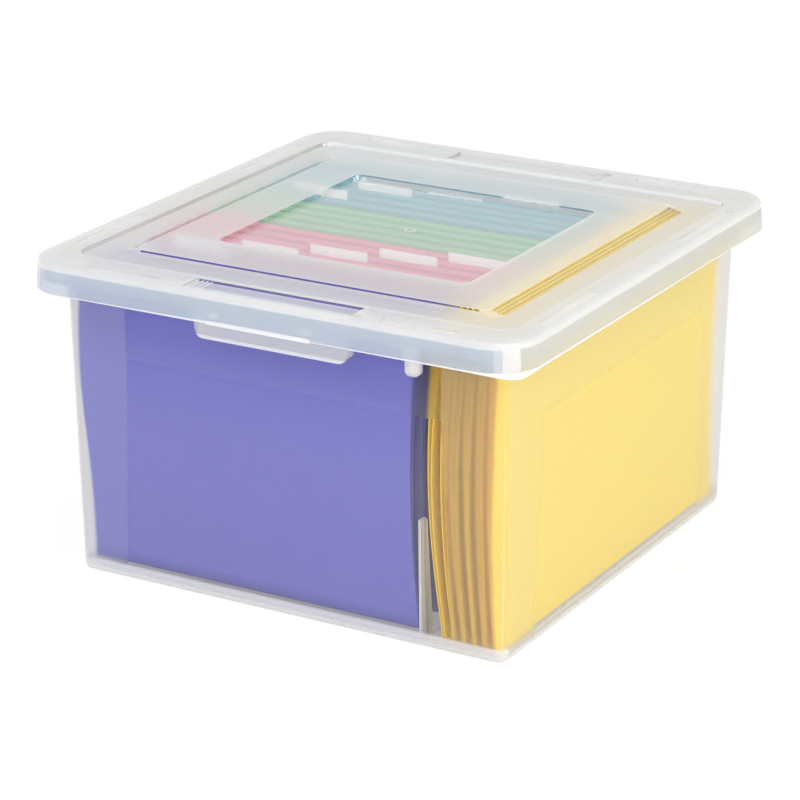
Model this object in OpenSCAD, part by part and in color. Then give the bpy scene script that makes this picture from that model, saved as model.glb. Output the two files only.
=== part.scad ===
// Portable file box: a clear tub that hangs letter folders across it and legal folders
// along it, a removable cross rail between the two, and a snap-on lid with a window.
// X runs along the front, Y from the front to the back, Z up. The origin is the middle
// of the underside. Letter folders hang along X and legal folders hang along Y.

/* [Tub] */
// Outside width of the tub just under its flange
tub_w = 388.4; // [380:0.2:400]
// Height of the flange's top face
rim_z = 256.8; // [252:0.2:275]
// Wall of the tub
wall = 2.2; // [1.8:0.1:2.6]
// How far each side wall leans out between floor and flange
lean_x = 3.2; // [1:0.1:5]
// How far the front and back walls lean out between floor and flange
lean_y = 5.8; // [2:0.1:8]
// Outside radius of the tub's upright corners
tub_r = 9; // [7:0.5:14]
// Height of the lip that hangs from the flange's edge
lip_h = 9.2; // [6:0.2:12]
// Depth of the hollow inside the foot ring
foot_h = 1.2; // [0.8:0.1:2]
// Width of the foot ring
foot_w = 9.5; // [6:0.5:16]
// Length of the hand grip under the flange, front and back
grip_w = 134; // [110:1:170]
// How far the grip hangs below the flange
grip_drop = 35.3; // [24:0.2:44]
// Finger room between the grip and the wall
grip_gap = 8.6; // [6:0.2:12]
// Height of the fins that keep letter and legal folders apart
fin_h = 100; // [60:1:140]
// Width of the smooth panel sunk into each wall
panel_w = 291; // [200:1:320]
// Height of the top of the smooth panels
panel_top = 186; // [120:1:200]

/* [Hanging rails] */
// Distance between the rails that carry letter folders
letter_gap = 311.2; // [309:0.2:314]
// Distance between the rails that carry legal folders
legal_gap = 387.4; // [384:0.2:392]
// Height of the rails' top edges
rail_z = 246; // [240:0.5:248]
// Thickness of the rails
rail_t = 2; // [1.6:0.1:2.2]
// Room for the hook ends between rail and wall
channel = 3.6; // [3.4:0.1:5]
// Width of the foot of the cross rail
cross_w = 6.6; // [6:0.2:8]
// Height of the cross rail
cross_h = 10; // [8:0.5:14]
// Length of the tongue that drops into each cross-rail socket
tongue_l = 18.4; // [14:0.2:26]
// Outside width of each socket
boss_w = 12; // [10:0.5:14]

/* [Lid] */
// Outside width of the lid at its lower edge
lid_w = 435; // [432:1:446]
// Outside depth of the lid at its lower edge
lid_d = 456; // [452:1:470]
// Outside corner radius of the lid's skirt
lid_r = 35.5; // [30:0.5:42]
// Corner radius of the two thin lips to lift the lid by, at opposite corners
lip_r = 12; // [8:1:20]
// Wall of the lid
lid_wall = 2.2; // [1.8:0.1:2.4]
// Height of the skirt from lower edge to rim
skirt_h = 22.5; // [20:0.5:28]
// How far the terrace lies below the rim
terrace_drop = 2.9; // [2.2:0.1:3]
// How far the framed plateau stands above the terrace
plateau_h = 3.9; // [3:0.1:5]
// How far the window lies below the plateau
window_drop = 4; // [3:0.1:4]
// Width of the window
window_w = 222; // [160:1:260]
// Depth of the window
window_d = 218; // [160:1:260]
// Width of the plateau, left to right
plateau_w = 313.6; // [300:1:340]
// Depth of the plateau, front to back
plateau_d = 320.4; // [300:1:340]
// Width of the ramps at the plateau's left and right
ramp_w = 10; // [4:0.5:14]
// Width of the whole terrace, left to right
terrace_w = 382; // [370:1:390]
// Depth of the whole terrace, front to back
terrace_d = 378; // [360:1:384]
// Corner radius of the terrace
terrace_r = 14; // [8:1:26]
// Corner radius of the plateau
plateau_r = 9; // [6:1:24]
// Length of the sunk panels over the grips
pocket_w = 146; // [110:1:160]
// Length of the pull bar on the skirt
pull_w = 91; // [60:1:120]
// Length of the shallow pads in the front and back of the rim
front_pad_l = 64; // [40:1:90]
// Length of the shallow pads in the sides of the rim
side_pad_l = 90; // [60:1:120]
// Distance from the lid's corners to the middle of the front and back pads
front_pad_at = 88.5; // [80:0.5:110]
// Distance from the lid's corners to the middle of the side pads
side_pad_at = 108; // [90:1:130]

/* [Folders] */
// Width of a letter folder's cover
letter_w = 298.5; // [294:0.5:299]
// Width of a legal folder's cover
legal_w = 374.7; // [370:0.5:375]
// How far the letter covers are pushed to the left along their rods
letter_push = 4.2; // [0:0.1:4.4]
// How far the legal covers are pushed to the front along their rods
legal_push = 3.4; // [0:0.1:4.4]
// Height of a letter folder from its rod to its fold
letter_h = 240; // [200:0.5:243.5]
// Height of a legal folder from its rod to its fold
legal_h = 243; // [200:0.5:243.5]
// Thickness of the covers
cover_t = 0.6; // [0.5:0.1:0.7]
// Distance between the two rods of one folder
rod_pair = 5; // [4.6:0.1:5.2]
// Height of a rod
rod_h = 9.5; // [8:0.5:10]
// Thickness of a rod
rod_t = 1.2; // [1:0.1:1.3]
// Distance from one folder to the next in the purple and pink sets
pitch = 17; // [12:0.5:17.5]
// Place of the rearmost pink folder, from the middle of the box
pink_rear = -20.5; // [-24:0.5:-18]
// Place of the front green folder
green_front = -3; // [-6:0.5:0]
// Places of the four front blue folders
blue_front = [70, 88, 104, 120.5]; // [60:0.5:130]
// Place of the rearmost blue folder
blue_rear = 160; // [150:0.5:165]
// Places of the blue tabs, from the middle of their covers
blue_tab_at = [-101, -57.5, 4.5, 70]; // [-110:0.5:110]
// How far the row of pink tabs is pushed to the right
pink_tab_push = 1.5; // [0:0.1:3]
// Width of an index tab
tab_w = 52.5; // [40:0.5:53]
// Height of an index tab
tab_h = 20; // [16:0.5:22]

/* [Hidden] */
// Clearances
seat_gap = 0.3;
fit_gap = 0.3;

// The tub's half sizes
tub_hx = tub_w / 2;
tub_hy = legal_gap / 2 + rail_t / 2 + channel + wall;
rail_x = tub_hx - wall - channel - rail_t / 2;
rail_y = legal_gap / 2;
shelf_z = rail_z - 5.4;
floor_z = foot_h + wall;

// The lid's levels, from the flange upward
lid_seat = rim_z + seat_gap;
rim_top = rim_z + 3.5 + lid_wall;
skirt_z = rim_top - skirt_h;
terrace_z = rim_top - terrace_drop;
plateau_z = terrace_z + plateau_h;
window_z = plateau_z - window_drop;
bead_z = rim_top + 1;
lid_lean = 1.5;

// The flange fits inside the lid's skirt
flange_gap = 1.3;
flange_hx = lid_w / 2 - lid_lean - lid_wall - flange_gap;
flange_hy = lid_d / 2 - lid_lean - lid_wall - flange_gap;
flange_r = lid_r - lid_lean - lid_wall - flange_gap;
lip_z = rim_z - lip_h;

// The cross rail carries the right-hand hooks of the letter folders
cross_x = -rail_x + letter_gap;
cross_right = cross_x + rail_t / 2;
cross_left = cross_right - cross_w;
cross_z = rail_z - cross_h;
block_h = 4.6;
tongue_w = 6;
tongue_x = cross_left;
tongue_y = tub_hy + 2.6;
tongue_z = cross_z + block_h - tongue_l;
boss_wall = 2;
fin_x = cross_left + 0.8;
fin_t = 2.2;

// Folders: the rods' top edges, the hems round them and the folds below
rod_z = rail_z + 4.5;
hook_reach = 3.2;
hook_slot = rail_t + 1.4;
hem_t = rod_t / 2 + fit_gap + cover_t;
hem_z = rod_z - rod_h - fit_gap - cover_t;
fold_w = 1.6;
letter_x = -rail_x + letter_gap / 2;
tight = rod_pair + 2 * hem_t + 0.7;
tab_t = 0.9;
tabbed = rod_pair + 2 * hem_t + tab_t + 2 * fit_gap + 0.1;

// Places of the folders across their rails
first_y = -rail_y + rail_t / 2 + hem_t + rod_pair / 2 + 0.6;
first_x = cross_x + hook_reach + fit_gap + hem_t + rod_pair / 2 + 0.1;
purple_at = [for (i = [0:3]) first_y + i * pitch];
pink_at = [for (i = [0:4]) pink_rear - (4 - i) * pitch];
green_at = [for (i = [0:3]) green_front + i * pitch];
blue_at = [each blue_front, blue_front[3] + tabbed, blue_front[3] + 2 * tabbed, blue_rear];
yellow_at = [for (i = [0:5]) first_x + i * (tight + 1)];

// The sets: name, colour, places, then how far the first cover bellies out half-way down
// and its fold drifts, and how much the two change from one cover to the next
SETS = [
    ["purple", "mediumslateblue", purple_at, [-4, 4], [0.6, 0]],
    ["pink", "pink", pink_at, [-1.5, 1.5], [0, 0]],
    ["green", "lightgreen", green_at, [-1.5, 1.5], [0, 0]],
    ["blue", "skyblue", blue_at, [-1.5, 1.5], [0, 0]],
    ["yellow", "gold", yellow_at, [-8, 7], [0.8, -1]]
];

// Tabbed sets: each tab's folder and its place from the middle of the cover
TABBED = [
    ["pink", pink_at, [for (i = [0:4]) [i, (i - 2) * (tab_w + 0.3) + pink_tab_push]]],
    ["blue", blue_at, [for (i = [0:3]) [[1, 3, 4, 5][i], blue_tab_at[i]]]]
];

// Points of a rounded rectangle at one height
arc_steps = 8;
function ring(hx, hy, r, z) = [
    for (c = [0:3]) for (i = [0:arc_steps])
        let (a = 90 * c + 90 * i / arc_steps)
        [(c == 0 || c == 3 ? 1 : -1) * (hx - r) + r * cos(a), (c < 2 ? 1 : -1) * (hy - r) + r * sin(a), z]
];

// A closed skin through a stack of rounded rectangles [half x, half y, radius, height],
// whose first and last ones are its end faces
module skin(rows) {
    n = 4 * (arc_steps + 1);
    last = (len(rows) - 1) * n;
    polyhedron(
        points = [for (row = rows) each ring(row[0], row[1], row[2], row[3])],
        faces = concat(
            [[for (i = [n - 1:-1:0]) i]],
            [for (k = [0:len(rows) - 2]) for (i = [0:n - 1])
                let (a = k * n + i, b = k * n + (i + 1) % n)
                each [[a, b + n, a + n], [a, b, b + n]]],
            [[for (i = [0:n - 1]) last + i]]
        )
    );
}

// A flat rounded rectangle
module plate(hx, hy, r) {
    polygon([for (p = ring(hx, hy, r, 0)) [p[0], p[1]]]);
}

// Children at the front and, turned round the upright axis, at the back
module front_and_back() {
    children();
    rotate([0, 0, 180]) children();
}

// Children at the front and mirrored to the back
module mirrored_back() {
    children();
    mirror([0, 1, 0]) children();
}

// A row of the tub's skin that follows the leaning walls, inset from the outside
function wall_row(z, inset) = [
    tub_hx - lean_x * (1 - z / rim_z) - inset,
    tub_hy - lean_y * (1 - z / rim_z) - inset,
    max(tub_r - inset, 3),
    z
];

// A row of the hanging rails, grown outward from their inner faces
function rail_row(z, grow) = [rail_x - rail_t / 2 + grow, rail_y - rail_t / 2 + grow, 1.2 + grow / 2, z];

module tub() color("whitesmoke") {
    difference() {
        union() {
            tub_shell();
            mirrored_back() {
                grip();
                socket_boss();
                fin();
            }
        }
        mirrored_back() socket_hole();
        wall_panels();
    }
}

// Floor, leaning walls, rails round the inside, flange and its lip, in one skin
module tub_shell() {
    skin([
        wall_row(floor_z, wall + 6),
        wall_row(floor_z + 1.2, wall + 1.8),
        wall_row(floor_z + 6, wall),
        wall_row(shelf_z - 9, wall),
        rail_row(shelf_z - 2.5, 0),
        rail_row(rail_z - 0.5, 0),
        rail_row(rail_z, 0.5),
        rail_row(rail_z, rail_t - 0.3),
        rail_row(rail_z - 0.5, rail_t),
        rail_row(shelf_z, rail_t),
        wall_row(shelf_z, wall),
        wall_row(rim_z - 2, wall),
        wall_row(rim_z, wall - 1.5),
        [flange_hx - 1, flange_hy - 1, flange_r - 1, rim_z],
        [flange_hx, flange_hy, flange_r, rim_z - 1],
        [flange_hx, flange_hy, flange_r, lip_z + 0.3],
        [flange_hx - 0.3, flange_hy - 0.3, flange_r - 0.3, lip_z],
        [flange_hx - wall, flange_hy - wall, flange_r - wall, lip_z],
        [flange_hx - wall, flange_hy - wall, flange_r - wall, rim_z - wall],
        wall_row(rim_z - wall, 0),
        wall_row(6, 0),
        wall_row(1.6, 1.6),
        wall_row(0, 4.5),
        wall_row(0, 4.5 + foot_w),
        wall_row(foot_h, 6 + foot_w)
    ]);
}

// Hand grip: a rounded plate below the flange, with a rolled lower edge and a web back
// to the wall at each end
module grip() {
    top_y = -tub_hy - grip_gap;
    low_z = rim_z - grip_drop;
    corner = 8;
    roll = 2.6;
    span = grip_w / 2;
    intersection() {
        union() {
            translate([-span, top_y - wall, low_z]) cube([grip_w, wall, grip_drop - wall / 2]);
            translate([-span, top_y - wall - 0.6, low_z]) cube([grip_w, wall + 1.4, roll]);
        }
        translate([0, top_y + wall, 0]) rotate([90, 0, 0]) linear_extrude(4 * wall)
            polygon([
                [-span, rim_z],
                for (i = [0:arc_steps])
                    [corner - span - corner * cos(90 * i / arc_steps), low_z + corner - corner * sin(90 * i / arc_steps)],
                for (i = [0:arc_steps])
                    [span - corner + corner * sin(90 * i / arc_steps), low_z + corner - corner * cos(90 * i / arc_steps)],
                [span, rim_z]
            ]);
    }
    for (side = [-1, 1]) translate([side * (span - wall / 2 - 1.2), 0, 0]) rotate([90, 0, 90])
        linear_extrude(wall, center = true)
            polygon([
                [top_y - wall / 2, low_z + 3.8],
                [0.6 * wall - tub_hy, low_z + 4.8],
                [0.6 * wall - tub_hy, rim_z - wall / 2],
                [top_y - wall / 2, rim_z - wall / 2]
            ]);
}

// Socket on the outside of the wall that holds one end of the cross rail
module socket_boss() {
    face_y = -tongue_y - fit_gap - boss_wall;
    low_z = tongue_z - seat_gap - boss_wall;
    translate([tongue_x, face_y, 0]) rotate([-90, 0, 0]) linear_extrude(-tub_hy - face_y + 0.8 * wall)
        polygon([
            [-boss_w / 2, wall - rim_z],
            [boss_w / 2, wall - rim_z],
            [boss_w / 2, -low_z - 2.5],
            [boss_w / 2 - 2.5, -low_z],
            [2.5 - boss_w / 2, -low_z],
            [-boss_w / 2, -low_z - 2.5]
        ]);
}

// The space that the cross rail's end drops into, open at the top
module socket_hole() {
    hole_w = tongue_w + 2 * fit_gap;
    translate([tongue_x - hole_w / 2, -tongue_y - fit_gap, tongue_z - seat_gap])
        cube([hole_w, tongue_y + fit_gap - rail_y + rail_t, rim_z]);
    translate([tongue_x - hole_w / 2, -tub_hy + wall + 0.2, cross_z - 4])
        cube([cross_right + fit_gap - tongue_x + hole_w / 2, tub_hy - wall - 0.2 - rail_y + rail_t, rim_z]);
}

// Fin on the wall below the cross rail, deeper at the floor than at its top
module fin() {
    wall_y = tub_hy - lean_y - wall + 0.5;
    translate([fin_x - fin_t / 2, 0, 0]) rotate([90, 0, 90]) linear_extrude(fin_t)
        polygon([
            [-wall_y, floor_z - 0.5],
            [18 - wall_y, floor_z - 0.5],
            [8.5 - wall_y, floor_z + fin_h - 3],
            [5.5 - wall_y, floor_z + fin_h],
            [-wall_y - lean_y * fin_h / rim_z, floor_z + fin_h]
        ]);
}

// Shallow smooth panels in the outside of the four walls, narrower at the top
module wall_panels() {
    depth = 0.3;
    low_z = 12;
    for (a = [0:90:270]) {
        foot = a % 180 == 0 ? tub_hy - lean_y : tub_hx - lean_x;
        lean = a % 180 == 0 ? lean_y : lean_x;
        rotate([0, 0, a]) translate([0, -foot, 0]) rotate([90 + atan(lean / rim_z), 0, 0])
            translate([0, 0, -depth]) linear_extrude(2)
                polygon([
                    [-panel_w / 2, low_z],
                    [panel_w / 2, low_z],
                    [panel_w / 2 - 7, panel_top],
                    [7 - panel_w / 2, panel_top]
                ]);
    }
}

// Cross rail: a small channel section with a tongue at each end
module cross_rail() color("gainsboro") {
    run = rail_y - rail_t / 2 - fit_gap;
    rotate([90, 0, 0]) linear_extrude(2 * run, center = true)
        polygon([
            [cross_left, cross_z],
            [cross_right, cross_z],
            [cross_right, rail_z],
            [cross_right - rail_t, rail_z],
            [cross_right - rail_t, cross_z + 2.2],
            [cross_left + 1.8, cross_z + 2.2],
            [cross_left + 1.8, cross_z + 5],
            [cross_left, cross_z + 5]
        ]);
    mirrored_back() {
        translate([tongue_x - tongue_w / 2, -tub_hy + wall + 0.6, cross_z])
            cube([cross_right - tongue_x + tongue_w / 2, tub_hy - wall - 0.6 - run + 4, block_h]);
        translate([tongue_x - tongue_w / 2, -tongue_y, tongue_z])
            cube([tongue_w, tongue_y - tub_hy + wall + 3, tongue_l]);
    }
}

// Half sizes of the lid's rows, inset from its lower edge
function lid_row(z, inset) = [lid_w / 2 - inset, lid_d / 2 - inset, max(lid_r - inset, 4), z];

// Half sizes of rows round a rectangle given by width and depth, grown outward
function area_row(w, d, r, grow, z) = [w / 2 + grow, d / 2 + grow, r + grow, z];

module lid() color("white") {
    difference() {
        union() {
            lid_shell();
            seat_rib();
            front_and_back() {
                pocket_pan();
                snap_ribs();
                pull_bar();
                corner_lip();
            }
            gate_ring();
        }
        front_and_back() pocket();
        rim_pads();
    }
    front_and_back() pocket_bars();
}

// Window, frame, ramps, terrace, rim and skirt in one skin, from the window's top
// face outward and back along the underside
module lid_shell() {
    under = lid_wall;
    skin([
        area_row(window_w, window_d, 7, 0, window_z),
        area_row(window_w, window_d, 7, 0.4, plateau_z - 0.3),
        area_row(window_w, window_d, 7, 0.8, plateau_z),
        area_row(plateau_w, plateau_d, plateau_r, -1.4, plateau_z),
        area_row(plateau_w, plateau_d, plateau_r, -0.8, plateau_z - 0.3),
        area_row(plateau_w, plateau_d, plateau_r, 0, plateau_z - 1.6),
        area_row(plateau_w + 2 * ramp_w, plateau_d + 1, plateau_r, 0, terrace_z + 0.2),
        area_row(plateau_w + 2 * ramp_w, plateau_d + 1, plateau_r, 0.6, terrace_z),
        area_row(terrace_w, terrace_d, terrace_r, -0.4, terrace_z),
        area_row(terrace_w, terrace_d, terrace_r, 0, terrace_z + 0.4),
        area_row(terrace_w, terrace_d, terrace_r, 0.4, rim_top - 0.4),
        area_row(terrace_w, terrace_d, terrace_r, 0.9, rim_top),
        lid_row(rim_top, 9),
        lid_row(bead_z, 6.5),
        lid_row(bead_z, 4.2),
        lid_row(bead_z - 0.8, 2.6),
        lid_row(bead_z - 2.6, 1.7),
        lid_row(bead_z - 5, lid_lean),
        lid_row(skirt_z + 3, 0.2),
        lid_row(skirt_z + 0.5, 0),
        lid_row(skirt_z, 0.3),
        lid_row(skirt_z, lid_wall - 0.3),
        lid_row(skirt_z + 0.5, lid_wall),
        lid_row(rim_top - under - 2, lid_lean + lid_wall),
        lid_row(rim_top - under, lid_lean + lid_wall + 2),
        area_row(terrace_w, terrace_d, terrace_r, 0.9 + lid_wall, rim_top - under),
        area_row(terrace_w, terrace_d, terrace_r, 0.3 + lid_wall, terrace_z - under + 0.5),
        area_row(terrace_w, terrace_d, terrace_r, lid_wall - 0.4, terrace_z - under),
        area_row(plateau_w + 2 * ramp_w, plateau_d + 1, plateau_r, -1.2, terrace_z - under),
        area_row(plateau_w, plateau_d, plateau_r, -lid_wall - 0.6, plateau_z - under),
        area_row(window_w, window_d, 7, 2.6, plateau_z - under),
        area_row(window_w, window_d, 7, 2.2, window_z - under)
    ]);
}

// Ring under the rim that sits on the tub's flange
module seat_rib() {
    inset = 13.5;
    rib_t = 1.8;
    translate([0, 0, lid_seat]) linear_extrude(rim_top - lid_wall / 2 - lid_seat) difference() {
        plate(lid_w / 2 - inset, lid_d / 2 - inset, lid_r - inset);
        plate(lid_w / 2 - inset - rib_t, lid_d / 2 - inset - rib_t, lid_r - inset - rib_t);
    }
}

// Thin lip across one corner of the skirt's lower edge
module corner_lip() {
    grown = 0.6;
    translate([0, 0, skirt_z]) linear_extrude(1.8) intersection() {
        difference() {
            plate(lid_w / 2, lid_d / 2, lip_r);
            plate(lid_w / 2 - grown, lid_d / 2 - grown, lid_r - grown);
        }
        translate([lid_w / 2 - lid_r, -lid_d / 2]) square(lid_r);
    }
}

// The sunk panel over each grip, and the thin pan that forms its underside
pocket_y0 = -lid_d / 2 + 10.6;
pocket_y1 = -terrace_d / 2 - 4.7;
module pocket() {
    translate([-pocket_w / 2, pocket_y0, terrace_z]) cube([pocket_w, pocket_y1 - pocket_y0, 6]);
}

module pocket_pan() {
    pan_wall = terrace_z - rim_z - 0.7;
    translate([-pocket_w / 2 - 2, pocket_y0 - 2, terrace_z - pan_wall])
        cube([pocket_w + 4, pocket_y1 - pocket_y0 + 4, rim_top - lid_wall / 2 - terrace_z + pan_wall]);
}

// Short bars across the left end of the sunk panel
module pocket_bars() {
    for (i = [1:3]) translate([4 * i - pocket_w / 2 - 0.6, pocket_y0 - 0.2, terrace_z - 0.2])
        cube([1.2, pocket_y1 - pocket_y0 + 0.4, 1.2]);
}

// Two short ribs inside the skirt that snap below the flange's lip, each on a small web
module snap_ribs() {
    rib_w = 10.6;
    rib_h = 2.4;
    reach = flange_gap + 0.6;
    inner_y = -lid_d / 2 + lid_wall;
    for (side = [-1, 1]) translate([side * 39.7, 0, 0]) {
        translate([-rib_w / 2, inner_y - 0.4, lip_z - 1.2]) cube([rib_w, reach + 0.4, rib_h]);
        translate([0, inner_y - 0.4, lip_z - 1.2]) rotate([90, 0, 90]) linear_extrude(2, center = true)
            polygon([[0, 0.5], [reach + 0.4, 0.5], [0, -3.2]]);
    }
}

// Thickened length of the skirt's edge to pull the lid off by
module pull_bar() {
    bar_h = 2.8;
    reach = 1.4;
    translate([0, -lid_d / 2 + 0.6, skirt_z]) rotate([90, 0, 0]) linear_extrude(reach + 0.6)
        polygon([
            [1.2 - pull_w / 2, 0],
            [pull_w / 2 - 1.2, 0],
            [pull_w / 2, 0.8],
            [pull_w / 2, bar_h - 0.8],
            [pull_w / 2 - 1.2, bar_h],
            [1.2 - pull_w / 2, bar_h],
            [-pull_w / 2, bar_h - 0.8],
            [-pull_w / 2, 0.8]
        ]);
}

// Mark left by the moulding gate in the middle of the window
module gate_ring() {
    translate([0, 0, window_z - 0.2]) difference() {
        cylinder(h = 0.6, r = 4.6, $fn = 48);
        translate([0, 0, -0.1]) cylinder(h = 0.8, r = 3.6, $fn = 48);
    }
}

// Shallow pads in the rim where the feet of a box stacked on top come to rest
module rim_pads() {
    depth = 0.8;
    front_w = 9;
    side_w = 8;
    edge = 10;
    for (sx = [-1, 1]) for (sy = [-1, 1]) {
        translate([sx * (lid_w / 2 - front_pad_at), sy * (lid_d / 2 - edge - front_w / 2), rim_top - depth + 3])
            cube([front_pad_l, front_w, 6], center = true);
        translate([sx * (lid_w / 2 - edge - side_w / 2), sy * (lid_d / 2 - side_pad_at), rim_top - depth + 3])
            cube([side_w, side_pad_l, 6], center = true);
    }
}

// One side of a cover's outline: its distance from the middle plane, from hem to fold. The
// sway is how far the cover bellies out and how far its fold drifts.
leaf_steps = 10;
function leaf(side, shift, sway, fold_z, low) = [
    for (i = [0:leaf_steps])
        let (u = i / leaf_steps, half = rod_pair / 2 * (1 - u) + fold_w / 2 * u)
        [
            side * half + shift + sway[0] * sin(180 * u) + sway[1] * u * u,
            max((hem_z + 0.2) * (1 - u) + fold_z * u, low)
        ]
];
function reversed(list) = [for (i = [len(list) - 1:-1:0]) list[i]];

// Section of a folded cover: two leaves that meet at a narrow fold, with a hem on each
module cover_section(sway, fold_z) {
    t = cover_t / 2;
    drift = sway[1];
    difference() {
        union() {
            polygon(concat(
                leaf(-1, -t, sway, fold_z, 0),
                [[drift - fold_w / 2, fold_z - t], [drift + fold_w / 2, fold_z - t]],
                reversed(leaf(1, t, sway, fold_z, 0)),
                leaf(1, -t, sway, fold_z, fold_z + t),
                reversed(leaf(-1, t, sway, fold_z, fold_z + t))
            ));
            for (side = [-1, 1]) translate([side * rod_pair / 2 - hem_t, hem_z])
                square([2 * hem_t, rod_h + 2 * (fit_gap + cover_t)]);
        }
        for (side = [-1, 1]) translate([side * rod_pair / 2 - rod_t / 2 - fit_gap, rod_z - rod_h - fit_gap])
            square([rod_t + 2 * fit_gap, rod_h + 2 * fit_gap]);
    }
}

// Outline of a rod in its length and height, with the two slots that sit on the rails
module rod_outline(gap) {
    end = gap / 2 + hook_reach;
    difference() {
        translate([-end, rod_z - rod_h]) square([2 * end, rod_h]);
        for (s = [-1, 1]) translate([s * gap / 2 - hook_slot / 2, rod_z - rod_h - 1])
            square([hook_slot, rail_z - rod_z + rod_h + 1]);
    }
}

// Puts a cover on its rails
module letter_folder(at, sway) {
    translate([letter_x - letter_push, at, 0]) rotate([90, 0, 90]) linear_extrude(letter_w, center = true)
        cover_section(sway, rod_z - letter_h);
}

module legal_folder(at, sway) {
    translate([at, -legal_push, 0]) rotate([90, 0, 0]) linear_extrude(legal_w, center = true)
        cover_section(sway, rod_z - legal_h);
}

module folder_rods(set) color("silver") {
    for (at = set[2]) for (side = [-1, 1])
        if (set[0] == "yellow")
            translate([at + side * rod_pair / 2, 0, 0]) rotate([90, 0, 90])
                linear_extrude(rod_t, center = true) rod_outline(legal_gap);
        else
            translate([letter_x, at + side * rod_pair / 2, 0]) rotate([90, 0, 0])
                linear_extrude(rod_t, center = true) rod_outline(letter_gap);
}

module folder(set, i) color(set[1]) {
    sway = set[3] + i * set[4];
    if (set[0] == "yellow")
        legal_folder(set[2][i], sway);
    else
        letter_folder(set[2][i], sway);
}

// Index tabs: a clear sleeve that clips in front of the hem, with a paper label in it
tab_top = rod_z + 5.6;
module tab_places(set) {
    for (place = set[2])
        translate([letter_x + place[1], set[1][place[0]] - rod_pair / 2 - hem_t - fit_gap - tab_t / 2, 0])
            children();
}

module tabs(set) color("ghostwhite") tab_places(set)
    rotate([90, 0, 90]) linear_extrude(tab_w, center = true) difference() {
        translate([-tab_t / 2, tab_top - tab_h]) square([tab_t, tab_h]);
        translate([-0.2, tab_top - tab_h - 1]) square([0.4, tab_h + 0.5]);
    }

module labels(set) color("white") tab_places(set)
    translate([-tab_w / 2 + 1, -0.1, tab_top - tab_h + 6]) cube([tab_w - 2, 0.2, tab_h - 6.8]);

tub();
cross_rail();
lid();
for (set = SETS) {
    for (i = [1:len(set[2])])
        folder(set, i - 1);
    folder_rods(set);
}
for (set = TABBED) {
    tabs(set);
    labels(set);
}
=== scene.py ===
"""Looks of a clear portable file box with hanging folders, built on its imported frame.

The tub, lid and cross rail keep the frame's shapes, smoothed and split into zones of clear,
hazed and frosted plastic. The folders are bent card sheets hung on steel rods, with clear
index tabs and paper labels. All lengths are metres unless a name ends in _mm.
"""

import logging
import math
from dataclasses import dataclass, field
from enum import Enum
from typing import Callable

import bmesh
import bpy
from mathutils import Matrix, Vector


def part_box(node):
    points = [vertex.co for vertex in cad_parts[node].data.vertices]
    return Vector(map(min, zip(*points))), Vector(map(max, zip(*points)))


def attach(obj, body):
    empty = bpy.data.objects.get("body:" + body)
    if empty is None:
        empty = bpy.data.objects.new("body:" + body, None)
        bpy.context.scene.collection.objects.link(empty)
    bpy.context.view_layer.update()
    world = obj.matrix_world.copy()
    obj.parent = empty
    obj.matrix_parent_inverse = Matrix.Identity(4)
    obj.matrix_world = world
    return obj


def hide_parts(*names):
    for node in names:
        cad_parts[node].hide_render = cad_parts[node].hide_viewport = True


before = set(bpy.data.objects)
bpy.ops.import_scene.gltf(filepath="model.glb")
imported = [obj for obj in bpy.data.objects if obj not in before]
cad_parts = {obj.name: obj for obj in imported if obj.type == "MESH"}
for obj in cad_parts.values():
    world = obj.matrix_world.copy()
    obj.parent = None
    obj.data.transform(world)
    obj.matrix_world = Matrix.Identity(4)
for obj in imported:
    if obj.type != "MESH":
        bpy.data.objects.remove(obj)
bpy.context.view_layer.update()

LOG = logging.getLogger("file_box")
MM = 0.001
MERGE_DISTANCE = 1e-6
# How far up a normal points: more is flat, more is nearly level, less is steep
FLAT_NORMAL = 0.99
LEVEL_NORMAL = 0.9
UPRIGHT_NORMAL = 0.5

Colour = tuple[float, float, float]
Point = tuple[float, float]
Place = tuple[float, float, float]
Socket = bpy.types.NodeSocket
Object = bpy.types.Object
Material = bpy.types.Material


class Zone(Enum):
    """The finishes a clear moulding is split into."""

    WINDOW = "window"
    FROSTED = "frosted"
    RAMP = "ramp"
    LINE = "line"
    UNDER = "under"
    RIM = "rim"
    SKIRT = "skirt"
    SIDE = "side"
    LIP = "lip"
    POCKET = "pocket"
    PAD = "pad"
    FIN = "fin"
    WALL = "wall"
    EDGE = "edge"


class Run(Enum):
    """The direction in which a set's folders hang."""

    LETTER = "x"
    LEGAL = "y"


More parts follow.
